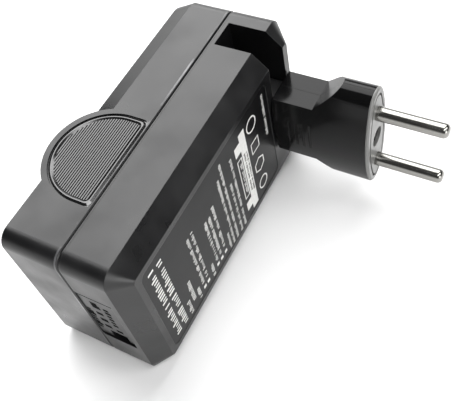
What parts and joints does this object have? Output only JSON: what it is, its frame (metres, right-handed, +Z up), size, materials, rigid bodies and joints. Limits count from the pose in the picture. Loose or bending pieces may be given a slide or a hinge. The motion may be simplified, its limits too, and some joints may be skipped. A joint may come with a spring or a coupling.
{
  "type": "camera battery charger",
  "caption": "Oblong plug-in battery charger lying on its side, with ridged finger ears, an open battery bay, a fold-away plug slot and a pull-off round-pin mains adapter.",
  "frame": {"origin": "middle of the overall box at the height of the surface the charger lies on", "axes": "+Z up across the charger's width, +X along its length from the jack end to the plug end, -Y out of the label and plug side"},
  "size_m": [0.088, 0.086, 0.0495],
  "materials": {
    "housing_black": "moulded ABS, fine satin",
    "plate_black": "moulded ABS, satin",
    "label_black": "printed polyester film, satin",
    "adapter_black": "moulded, glossy",
    "carrier_grey": "moulded nylon, mid grey",
    "drum_black": "moulded nylon",
    "pin_chrome": "nickel-plated brass, bright",
    "contact_brass": "sprung brass strip",
    "screw_steel": "zinc-plated steel",
    "component_black": "moulded epoxy",
    "board_green": "glass epoxy laminate",
    "ferrite_grey": "sintered ferrite",
    "winding_copper": "enamelled copper under tape",
    "can_aluminium": "sleeved aluminium can",
    "disc_blue": "dipped resin",
    "lamp_red": "cast epoxy",
    "pipe_clear": "clear acrylic"
  },
  "bodies": {
    "charger": {"rear_housing": "housing_black", "front_housing": "housing_black", "battery_plate": "plate_black", "rating_label": "label_black", "dc_jack": "component_black", "circuit_board": "board_green", "transformer_core": "ferrite_grey", "transformer_bobbin": "component_black", "transformer_winding": "winding_copper", "mains_capacitor": "can_aluminium", "output_capacitor": "can_aluminium", "safety_capacitor": "disc_blue", "fuse": "disc_blue", "output_diode": "component_black", "bridge_rectifier": "component_black", "control_chip": "component_black", "opto_coupler": "component_black", "noise_choke": "ferrite_grey", "switching_transistor": "component_black", "charge_lamp": "lamp_red", "light_pipe": "pipe_clear", "battery_contacts": "contact_brass", "plug_drum": "drum_black", "plug_blades": "pin_chrome", "drum_pivot": "screw_steel", "supply_springs": "contact_brass"},
    "adapter": {"adapter_shell_near": "adapter_black", "adapter_shell_far": "adapter_black", "pin_carrier": "carrier_grey", "mains_pins": "pin_chrome", "blade_sockets": "contact_brass", "adapter_screw": "screw_steel"}
  },
  "joints": [
    {"name": "adapter_pull", "type": "slide", "parent": "charger", "child": "adapter", "axis": [0, -1, 0], "range_m": [0, 0.02]}
  ]
}
